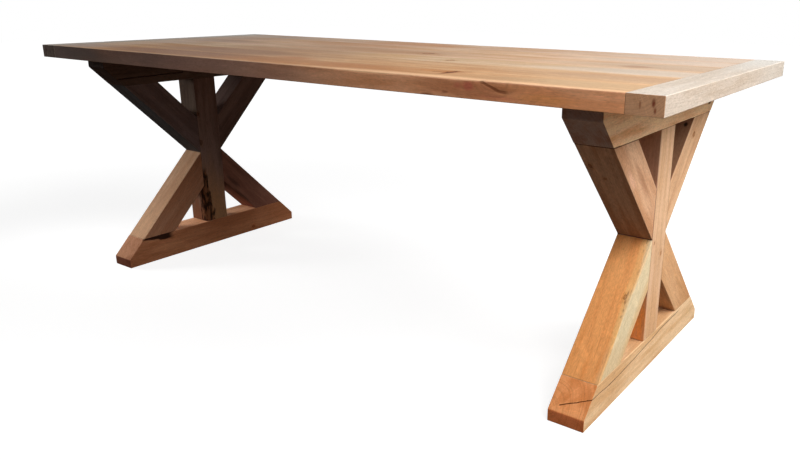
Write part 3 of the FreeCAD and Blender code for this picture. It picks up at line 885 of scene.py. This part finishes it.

# %% [markdown]
# Each plank comes from another board, so each has its own tones and its own pith, which decides
# whether it shows arches or stripes. One texture over the whole top would be quicker, but its
# grain would run straight through the seams.

# %% The planks
# painted shade: the top darker and browner left of its middle, darker and greyer at its left end
GREY_LEFT_SHADE, BROWN_MIDDLE_SHADE = (160, 128, 115), (168, 124, 92)
# painted sheen: the patches at the right end make it paler, where the window's sheen lies
LEFT_END, RIGHT_END = (-1.0, 0.0), (1.02, 0.0)
# PALE_GREY_LEFT_END paints the left end paler and greyer
PALE_GREY_LEFT_END = on_top(-1.03, 0.0, 0.30, 0.20, (212, 188, 168), 0.7)
# left-of-middle and left-end patches are painted shade, right-end ones painted sheen; the rest are stains
PLANKS = [   # width, tones (light, deep, streak), pith, marks
    (NARROW, ((206, 162, 120), (186, 136, 92), (184, 126, 82)), (0.10, -0.02), FRONT_MARKS),
    (WIDE, ((206, 168, 130), (188, 144, 104), (186, 134, 92)), (0.12, -0.20), dict(
        knots=(((0.003, -0.098, UPPER), BY_DEPTH, 0.012, 0.8, 0.7),),
        patches=(PALE_GREY_LEFT_END, on_top(-0.36, 0.0, 0.52, 0.14, SHADED, 0.75),
                 on_top(0.46, -0.03, 0.50, 0.06, (196, 142, 92), 0.3),
                 on_top(-0.02, -0.06, 0.10, 0.03, (180, 116, 78), 0.6, 0.03),
                 on_top(*RIGHT_END, 0.58, 0.10, (182, 152, 124), 0.75)))),
    (NARROW, ((219, 191, 160), (203, 168, 132), (199, 155, 114)), (-0.13, -0.10), dict(
        knots=(((0.355, -0.013, UPPER), BY_DEPTH, 0.012, 1.0, 0.7),),
        patches=(on_top(-0.26, 0.0, 0.58, 0.12, BROWN_MIDDLE_SHADE, 0.7),
                 on_top(*LEFT_END, 0.44, 0.12, GREY_LEFT_SHADE, 0.6), PALE_GREY_LEFT_END,
                 on_top(0.12, 0.0, 0.18, 0.12, (204, 158, 108), 0.5),
                 on_top(*RIGHT_END, 0.58, 0.10, (194, 180, 166), 0.8)))),
    (WIDE, ((218, 184, 154), (202, 160, 124), (196, 146, 108)), (0.05, -0.30), dict(
        knots=(((0.170, -0.016, UPPER), BY_DEPTH, 0.014, 0.8, 0.7),),
        patches=(on_top(-0.10, 0.0, 0.56, 0.12, BROWN_MIDDLE_SHADE, 0.55),
                 on_top(*LEFT_END, 0.60, 0.12, GREY_LEFT_SHADE, 0.7), PALE_GREY_LEFT_END,
                 on_top(*RIGHT_END, 0.60, 0.12, (178, 158, 138), 0.75),
                 on_top(0.82, -0.03, 0.06, 0.04, (160, 120, 94), 0.6)))),
    (NARROW, ((222, 190, 160), (208, 167, 130), (208, 154, 112)), (-0.09, 0.26), dict(
        # painted shade: darker left of the middle, greyer at the left end
        patches=(on_top(-0.26, 0.0, 0.44, 0.12, (190, 136, 98), 0.65),
                 on_top(*LEFT_END, 0.48, 0.12, GREY_LEFT_SHADE, 0.6), PALE_GREY_LEFT_END,
                 on_top(0.52, 0.0, 0.10, 0.04, (196, 142, 108), 0.5),
                 on_top(*RIGHT_END, 0.62, 0.12, (200, 184, 170), 0.8)))),
    (WIDE, ((220, 193, 170), (205, 167, 136), (210, 154, 110)), (0.12, -0.20), dict(
        free=((1,), (-1, 1)),
        # painted shade: darker left of the middle, greyer at the left end
        patches=(on_top(-0.10, -0.02, 0.34, 0.10, (198, 136, 92), 0.65),
                 on_top(-0.90, 0.0, 0.42, 0.12, (176, 152, 138), 0.7), PALE_GREY_LEFT_END,
                 on_top(*RIGHT_END, 0.62, 0.14, (198, 180, 164), 0.8)))),
]
PLANK_OAK = dict(rings=0.12, mottle=0.4, streaks=0.2, seam_dark=0.6, free=((), ()))
y = FRONT_Y
for order, (width, tones, pith, marks) in enumerate(PLANKS, 1):
    timber = Timber(f"oak_plank_{order}", (0, y + width / 2, MIDDLE_Z), (1, 0, 0), (0, 1, 0), width,
                    TOP_THICK, sawn(0, -SHOULDER_X), sawn(0, SHOULDER_X), SEEDS["plank"] + order)
    edges = four_edges(whole(SEAM))
    for b in (-1, 1):
        if order == 1:
            edges[-1, b] = [whole(OUTER)]
        if order == len(PLANKS):
            edges[1, b] = [whole(OUTER)]
    if order == 1:
        edges[-1, 1] += RUBBED
    piece = timber.surface(*PLANK_GRID, edges)
    wood = oak(f"plank_oak_{order}", timber, tones, pith, seams=timber.start + timber.stop,
               **{**PLANK_OAK, **marks})
    finish_piece(piece, wood, f"plank_{order}")
    y += width

# %% [markdown]
# ## The end boards
# A board across each end keeps the planks flat. It is a paler oak, and its own ends show on
# the table's front and back edges. Three small red marks sit on its front end.

# %% End boards
END_WIDE, BOARD_GRID = 0.075, ((0.008, 0.010), 0.008)
BOARD_TONES = (201, 190, 178), (189, 175, 160), (182, 164, 147)
# painted shade: BOARD_ENDS tints the left board's ends almost black; the right's is the end grain's own
# tint
BOARD_ENDS = {"left": (0.30, 0.24, 0.22), "right": (1.03, 0.64, 0.41)}
# painted light: FAR_END makes the back half of each board paler and cooler
FAR_END = ((0.50, 0.0, 0.0), (0.55, 0.10, 0.10), (206, 204, 198), 0.6)
HANDS = (("left", -1), ("right", 1))
BLOOD = (120, 74, 66)
RED_MARKS = (   # height and depth on the board's front end, size, amount
    (0.005, 0.016, (0.03, 0.013, 0.0050), 0.95),
    (-0.008, 0.020, (0.03, 0.010, 0.0045), 0.85),
    (0.001, -0.009, (0.03, 0.011, 0.0032), 0.6),
)
for hand, sign in HANDS:
    middle = sign * (SHOULDER_X + END_WIDE / 2)
    timber = Timber(f"oak_end_board_{hand}", (middle, 0, MIDDLE_Z), (0, 1, 0), (0, 0, 1), TOP_THICK,
                    END_WIDE, sawn(1, FRONT_Y), sawn(1, -FRONT_Y), SEEDS["board"] + sign)
    edges = four_edges(whole(SEAM))
    edges[-1, sign] = edges[1, sign] = [whole(OUTER)]
    piece = timber.surface(*BOARD_GRID, edges, end_radius=0.002)
    red = [((FRONT_Y, up, sign * deep), size, BLOOD, amount) for up, deep, size, amount in RED_MARKS]
    # the tint on each board's outward face is painted shade
    wood = oak(f"end_board_oak_{hand}", timber, BOARD_TONES, pith=(0.10, -0.05 * sign), rings=0.1,
               streaks=0.25, end_tint=BOARD_ENDS[hand], faces=(((sign, 0, 0), (0.86, 0.82, 0.78)),),
               free=((-1, 1), (sign,)), wear_and_highlight=(0.2, 0.003), patches=[*red, FAR_END])
    finish_piece(piece, wood, f"end_board_{hand}")

# %% [markdown]
# ## The trestles
# Each trestle is a letter X with a post through its middle. Its seven timbers come from
# different logs, so a table gives each one its tones, and what else only it has: a split,
# knots, sapwood or stains. The left trestle's darker tones are painted shade, and a tint on one
# face paints light or shade onto it.

# %% Trestle sizes, and the oak of each timber
TRESTLE_X, THICK = 0.884, 0.092
HALF = THICK / 2
BEAM_REACH, NOSE = 0.381, 0.030
WAIST_Z, FOOT_TOP, BEAM_UNDER, UNDER_TOP = 0.365, 0.092, 0.638, 0.730
DARK_LINE = (84, 52, 40)
TIMBERS = {   # tones are light, deep and streak
    "right_foot_beam": dict(
        tones=((229, 195, 154), (208, 165, 119), (210, 156, 107)), pith=(-0.016, -0.048), ring=0.012,
        rings=0.10, mottle=0.45, streaks=0.18, end_tint=(1.12, 0.65, 0.41),
        # painted shade: the nose and the top face tinted darker
        faces=((TO_FRONT, (0.93, 0.71, 0.70)), (TO_TOP, (0.86, 0.80, 0.78))),
        checks=(([(-0.42, 0.0045), (-0.345, 0.004), (-0.247, 0.0), (-0.127, 0.0023), (0.004, 0.0112),
                  (0.097, 0.0187), (0.21, 0.020)],
                 "side", 0.36, 0.0014, 0.03, (-0.022, 0.06), (SPLIT_BROWN, 0.94)),)),
    "right_top_beam": dict(
        # painted light: tones raised to lift the side in the top's shade; end_tint brings the ends back
        # down
        tones=((255, 218, 172), (236, 178, 130), (220, 153, 101)), end_tint=(0.37, 0.38, 0.57),
        patches=(((0.302, -0.022, HALF), (0.016, 0.007, 0.01), SPLIT_BROWN, 0.95),)),
    "right_post": dict(
        tones=((215, 177, 143), (199, 158, 120), (195, 146, 107)),
        # painted shade: the first patch darkens the whole front face; painted light: the second brightens
        # its lower part
        patches=(((0.0, 0.0, -0.0475), (0.90, 0.40, 0.0060), (171, 130, 107), 1.0),
                 ((-0.235, 0.0, -0.0475), (0.13, 0.11, 0.0060), (255, 156, 76), 1.0),
                 ((-0.26, HALF, 0.0), (0.20, 0.02, 0.06), (200, 152, 106), 0.6)),
        knots=(((-0.053, HALF, 0.025), BY_SIDE, 0.0035, 0.7, 0.8),
               ((-0.012, HALF, -0.030), BY_SIDE, 0.0025, 0.7, 0.7))),
    "right_upper_front_brace": dict(
        tones=((208, 166, 132), (186, 138, 102), (156, 104, 72)), mottle=0.8, seam_dark=1.8,
        # painted shade on the face that looks down and to the front
        faces=(((0, -1, -1), (0.76, 0.76, 0.80)),),
        patches=(((0.195, -0.004, HALF), (0.11, 0.012, 0.02), (150, 102, 72), 0.6),
                 ((0.245, 0.030, HALF), (0.06, 0.014, 0.02), (222, 176, 148), 0.6)),
        knots=(((0.259, HALF, -0.009), BY_SIDE, 0.003, 0.7, 0.8),
               ((0.304, HALF, -0.032), BY_SIDE, 0.0045, 0.6, 0.9))),
    "right_lower_front_brace": dict(
        tones=((232, 160, 97), (210, 130, 69), (196, 110, 52)), pith=(-0.60, -0.58),
        drift=(0.02, 0.045), streaks=0.25, rings=0.10, wear_and_highlight=(0.0, 0.003), seam_dark=0.7,
        sap=(0.8155, 0.8275, (232, 180, 116), (210, 197, 163)),
        patches=(((0.10, 0.054, HALF), (0.60, 0.048, 0.02), (210, 173, 126), 0.9),
                 ((0.34, 0.0, HALF), (0.12, 0.08, 0.02), (208, 180, 138), 0.6),
                 ((0.06, -HALF, 0.006), (0.12, 0.02, 0.07), (238, 172, 112), 0.35)),
        knots=(((0.162, -HALF, 0.032), BY_SIDE, 0.0042, 0.6, 0.75),)),
    "right_upper_back_brace": dict(
        tones=((212, 172, 135), (194, 148, 109), (168, 116, 80)),
        # painted shade on the inner face that looks up and to the front
        faces=(((0, -1, 1), (0.42, 0.35, 0.34)),),
        patches=(((0.268, HALF, 0.030), (0.009, 0.010, 0.007), (40, 24, 16), 0.95),),
        knots=(((0.266, 0.009, HALF), BY_DEPTH, 0.005, 0.7, 0.8),)),
    "right_lower_back_brace": dict(tones=((207, 162, 120), (190, 140, 94), (180, 123, 78))),
    # left trestle: its tones, darker than the right's, are painted shade
    "left_foot_beam": dict(
        # painted light and shade: end_tint lifts the sloped ends, the nose is darkened and the top face
        # lifted
        tones=((212, 146, 105), (184, 117, 79), (163, 98, 60)), end_tint=(0.92, 0.96, 0.98),
        faces=((TO_FRONT, (0.42, 0.32, 0.35)), (TO_TOP, (1.70, 2.20, 2.60))),
        knots=(((0.171, -0.028, HALF), BY_DEPTH, 0.005, 0.7, 0.8),),
        pockets=(((-0.325, -0.205), HALF, HALF, (0.007, 0.024), 0.0),)),
    "left_top_beam": dict(
        # painted shade: end_tint darkens the ends as well
        tones=((118, 96, 84), (96, 74, 64), (84, 63, 53)), end_tint=(0.40, 0.36, 0.34),
        checks=(([(-0.335, -0.0235), (-0.20, -0.0210), (-0.09, -0.0190)],
                 "side", 0.0, 0.0030, 0.012, (0.02, 0.06), (SPLIT_BROWN, 0.94)),)),
    "left_post": dict(
        tones=((158, 130, 120), (131, 101, 91), (116, 88, 77)), wear_and_highlight=(0.0, 0.003),
        # painted shade on the front face
        faces=((TO_FRONT, (0.70, 0.73, 0.62)),),
        patches=(((-0.28, 0.0, -HALF), (0.17, 0.14, 0.006), (160, 104, 80), 0.95),
                 ((-0.28, HALF, 0.0), (0.30, 0.006, 0.14), (182, 134, 94), 0.95)),
        knots=(((0.144, HALF, -0.044), BY_SIDE, 0.005, 0.7, 0.8),
               ((0.037, HALF, -0.042), BY_SIDE, 0.006, 0.7, 0.8)),
        pockets=(((-0.28, -0.07), HALF, -HALF, (0.036, 0.018), 0.9),)),
    "left_upper_front_brace": dict(
        tones=((147, 126, 124), (124, 102, 98), (112, 90, 86)),
        # painted shade on the face that looks down and to the front
        faces=(((0, -1, -1), (0.335, 0.45, 0.48)),)),
    "left_lower_front_brace": dict(
        tones=((207, 167, 134), (194, 148, 112), (182, 128, 91)),
        # painted shade on the face that looks to +x
        faces=(((1, 0, 0), (0.86, 0.68, 0.64)),),
        patches=(((0.42, -HALF, 0.0), (0.24, 0.006, 0.12), (232, 182, 140), 0.6),)),
    "left_upper_back_brace": dict(tones=((142, 114, 105), (118, 91, 82), (105, 79, 70))),
    "left_lower_back_brace": dict(
        tones=((162, 112, 93), (140, 92, 75), (123, 77, 61)),
        patches=(((0.13, -0.022, HALF), (0.06, 0.012, 0.02), DARK_LINE, 0.7),
                 ((0.20, -0.043, HALF), (0.07, 0.010, 0.02), DARK_LINE, 0.7))),
}
print(len(TIMBERS), "timbers, each", THICK * 1000, "mm square")

# %% [markdown]
# A bolt's head sits in a round hole that goes up into the top beam. A Boolean is right here,
# because the holes cut across the grid of the skin. The cutter's two circles are written out,
# because Blender's own cylinder needs an operator.

# %% Bolt holes in the top beams
BOLT_Y, BOLT_X, BORE_WIDE, BORE_DEEP = 0.118, 0.023, 0.024, 0.032
BORE_SIDES, BORE_BELOW, SHARP = 48, 0.01, math.radians(50)


def bore(x, y, low, high):
    """A closed round cutter: two equal circles joined by a wall, each shut by one face."""
    turn = np.linspace(0, 2 * math.pi, BORE_SIDES, endpoint=False)
    ring = np.stack([np.cos(turn), np.sin(turn)], -1) * BORE_WIDE / 2 + (x, y)
    points = np.concatenate([np.column_stack([ring, np.full(BORE_SIDES, z)]) for z in (low, high)])
    after = [*range(1, BORE_SIDES), 0]
    side = [(n, after[n], BORE_SIDES + after[n], BORE_SIDES + n) for n in range(BORE_SIDES)]
    lids = [tuple(range(BORE_SIDES))[::-1], tuple(range(BORE_SIDES, 2 * BORE_SIDES))]
    return mesh_object("bore", points.tolist(), side + lids)


def bore_holes(piece, centre_x):
    """Sinks the four bolt heads' holes into a top beam from below."""
    for y in (-BOLT_Y, BOLT_Y):
        for x in (centre_x - BOLT_X, centre_x + BOLT_X):
            cutter = bore(x, y, BEAM_UNDER - BORE_BELOW, BEAM_UNDER + BORE_DEEP)
            drill = piece.modifiers.new("bore", "BOOLEAN")
            drill.operation, drill.solver, drill.object = "DIFFERENCE", "EXACT", cutter
            drilled = piece.evaluated_get(bpy.context.evaluated_depsgraph_get())
            done = bpy.data.meshes.new_from_object(drilled)
            piece.modifiers.clear()
            piece.data = done
            bpy.data.objects.remove(cutter)
    piece.data.set_sharp_from_angle(angle=SHARP)


print("bolt heads' holes", BORE_WIDE * 1000, "mm wide")

# %% [markdown]
# A long edge is eased, but left sharp where another timber is fitted against it. Three corners
# are missing where the log ran out, and one brace has a crisper edge. All of these are spans
# of an edge with another radius, so one helper can make beams, posts and braces.

# %% One trestle timber
JOINED, JOINED_SOFT, EASED = 0.0004, 0.003, 0.0020
TIMBER_GRID = (0.008, 0.008), 0.007
OWN_EDGES = {   # the edge's signs to the side and in depth, and its spans
    "left_foot_beam": ((1, 1), [(-0.320, -0.205, 0.015, 0.013)]),
    "right_top_beam": ((1, 1), [(0.28, 0.335, 0.02, 0.010)]),
    "left_post": ((1, -1), [(-0.28, -0.140, 0.04, 0.010), (-0.28, -0.20, 0.03, 0.022)]),
    "right_lower_front_brace": ((-1, 1), [whole(0.0015)]),
}


def joined(*spans):
    """Where another timber is fitted, the edge is left sharp."""
    return [(low, high, JOINED_SOFT, JOINED) for low, high in spans]


def dress(name, timber, edges, marks, **skin_settings):
    """Skins one timber, dresses it in its own oak, and puts it in its CAD node's place."""
    if name in OWN_EDGES:
        corner, spans = OWN_EDGES[name]
        edges[corner] += spans
    piece = timber.surface(*TIMBER_GRID, edges, **skin_settings)
    if name.endswith("top_beam"):
        bore_holes(piece, timber.centre[0])
    wood = oak(name + "_oak", timber, **{**marks, **TIMBERS[name]})
    finish_piece(piece, wood, name)


print("eased edges", EASED * 1000, "mm")

# %% [markdown]
# ## Beams, posts and braces
# Foot beam and top beam lie flat, and one is the other turned over. Each end is sawn at 45
# degrees down to a short blunt nose, in line with the braces' outer faces. The grid gets extra
# lines beside the ridge between nose and slope, because the ridge would otherwise wander
# between two lines.

# %% The two beams of each trestle
BRACE_IN, BRACE_OUT, OVER = 0.1889, 0.319, 0.01
BEAM_JOINTS = joined((-BRACE_OUT - OVER, -BRACE_IN), (-HALF, HALF), (BRACE_IN, BRACE_OUT + OVER))
BLUNT, FEATHER = 0.0012, 0.0002
RIDGE_LINES = (-0.03, -0.015, 0, 0.015, 0.03)


def beam_cuts(sign, flip):
    """The blunt nose and the 45 degree slope at one end of a beam; flip is -1 for a top beam."""
    nose_z = NOSE if flip > 0 else UNDER_TOP - NOSE
    return [*sawn(1, sign * BEAM_REACH), ((0, sign * BEAM_REACH, nose_z), (0, sign, flip))]


for hand, sign in HANDS:
    for level, flip, middle_z in (("foot", 1, FOOT_TOP / 2), ("top", -1, (BEAM_UNDER + UNDER_TOP) / 2)):
        name = f"{hand}_{level}_beam"
        timber = Timber("oak_" + name, (sign * TRESTLE_X, 0, middle_z), (0, 1, 0), (0, 0, 1), THICK, THICK,
                        beam_cuts(-1, flip), beam_cuts(1, flip), SEEDS["beam"] + 7 * sign + flip)
        edges = four_edges(whole(EASED))
        for b in (-1, 1):
            edges[flip, b] += BEAM_JOINTS
        ridge = NOSE / THICK if flip > 0 else 1 - NOSE / THICK
        low, high = (BLUNT, FEATHER)[::flip]
        dress(name, timber, edges, {"pith": (-0.03, -0.05)}, end_low=low, end_radius=high,
              nose=[ridge + step for step in RIDGE_LINES])

# %% [markdown]
# The post stands between the two beams. The braces meet it at the waist, so its edges are left
# sharp there.

# %% Posts
WAIST_REACH = 0.1301
for hand, sign in HANDS:
    name = f"{hand}_post"
    timber = Timber("oak_" + name, (sign * TRESTLE_X, 0, WAIST_Z), (0, 0, 1), (1, 0, 0), THICK, THICK,
                    sawn(2, FOOT_TOP), sawn(2, BEAM_UNDER), SEEDS["post"] + sign)
    dress(name, timber, four_edges(whole(EASED), *joined((-WAIST_REACH, WAIST_REACH))),
          {"pith": (-0.06, 0.02), "seams": timber.start + timber.stop})

# %% [markdown]
# A brace runs at 45 degrees from the post to a beam. Its two saw cuts are the post's face and
# the beam's face, so its ends come out right whatever the sizes are.

# %% Braces
SLANT = math.sqrt(0.5)
for hand, sign in HANDS:
    for level, up, level_z in (("lower", -1, FOOT_TOP), ("upper", 1, BEAM_UNDER)):
        for end, out in (("front", -1), ("back", 1)):
            name = f"{hand}_{level}_{end}_brace"
            inner = np.array((0, -out * SLANT, up * SLANT))
            centre = np.array((sign * TRESTLE_X, out * HALF, WAIST_Z)) + inner * THICK / 2
            timber = Timber("oak_" + name, centre, (0, out * SLANT, up * SLANT),
                            (0, -up * SLANT, out * SLANT), THICK, THICK, sawn(1, out * HALF),
                            sawn(2, level_z), SEEDS["brace"] + 8 * sign + 2 * up + out)
            dress(name, timber, four_edges(whole(EASED)),
                  {"pith": (0.03, -0.09 * sign), "seams": timber.start + timber.stop})

# %% [markdown]
# ## What stays from the CAD model
# Splines, dowels, bolts, washers and inserts are right as they are. They only need a finish:
# plain oak for the joinery and zinc plate for the steel.

# %% Joinery and steel


def plain_oak():
    """Unoiled oak: pale fibres along the table, with darker pores."""
    bench = Bench("joinery_oak")
    place = bench.node("TexCoord", output=3)
    slow = bench.noise(place, (4.0, 60.0, 60.0), 31, 3.0)
    pore = bench.step(bench.noise(place, (60.0, 900.0, 900.0), 32, 1.0), 0.55, 0.7)
    colour = bench.blend(bench.step(slow, 0.35, 0.65), srgb(216, 184, 142), srgb(186, 146, 102))
    colour = bench.blend(pore * 0.4, colour, srgb(140, 98, 62))
    bumps = bench.node("Bump", {}, {"Strength": 0.4, "Distance": 0.0004, "Height": -pore})
    return bench.close(bench.node("BsdfPrincipled", {}, {
        "Base Color": colour, "Roughness": pore * 0.1 + 0.55, "Normal": bumps, "Specular IOR Level": 0.22}))


def zinc():
    """Bright zinc plate: a cool grey with faint cloudy passivation and fine turning marks."""
    bench = Bench("zinc_plate")
    place = bench.node("TexCoord", output=3)
    cloud = bench.noise(place, (220.0, 220.0, 220.0), 41, 3.0)
    fine = bench.noise(place, (2400.0, 2400.0, 900.0), 42, 1.0)
    colour = bench.blend(cloud, srgb(196, 198, 202), srgb(226, 226, 222))
    bumps = bench.node("Bump", {}, {"Strength": 0.2, "Distance": 0.0001, "Height": fine})
    return bench.close(bench.node("BsdfPrincipled", {}, {
        "Base Color": colour, "Roughness": cloud * 0.2 + 0.28, "Metallic": 1.0, "Normal": bumps}))


STAYING = {"oak_joinery": plain_oak(), "zinc_steel": zinc()}
for part in frame["record"]["subparts"]:
    if part["material_slot"] in STAYING:
        node = frame["nodes"][part["node"]]
        node.data.materials.clear()
        node.data.materials.append(STAYING[part["material_slot"]])
        print(part["node"], "gets", part["material_slot"])
